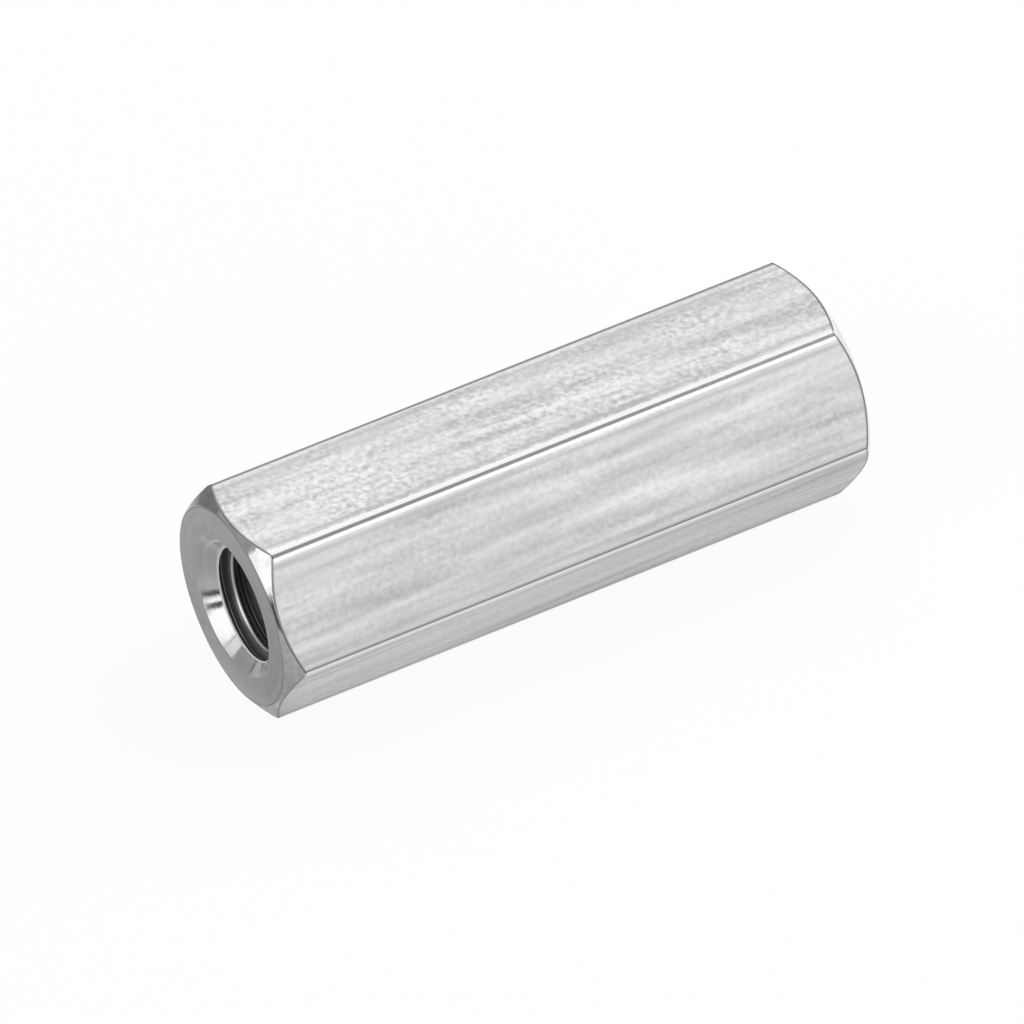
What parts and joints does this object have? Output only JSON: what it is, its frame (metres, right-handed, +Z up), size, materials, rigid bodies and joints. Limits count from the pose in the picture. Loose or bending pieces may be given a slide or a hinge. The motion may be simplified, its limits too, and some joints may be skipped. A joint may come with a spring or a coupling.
{
  "type": "coupling nut",
  "caption": "Long hexagonal coupling nut with chamfered ends and a countersunk, through-threaded bore, for joining threaded rods end to end.",
  "frame": {"origin": "under the middle of the nut, on the surface that it lies on", "axes": "+X along the thread's axis, +Z up out of the flat that it doesn't lie on"},
  "size_m": [0.04, 0.0148, 0.013],
  "materials": {
    "plated_steel": "bright zinc plate over drawn bar with fine lengthwise draw marks, turned satin end faces"
  },
  "bodies": {
    "root": {"coupling_nut": "plated_steel"}
  },
  "joints": []
}
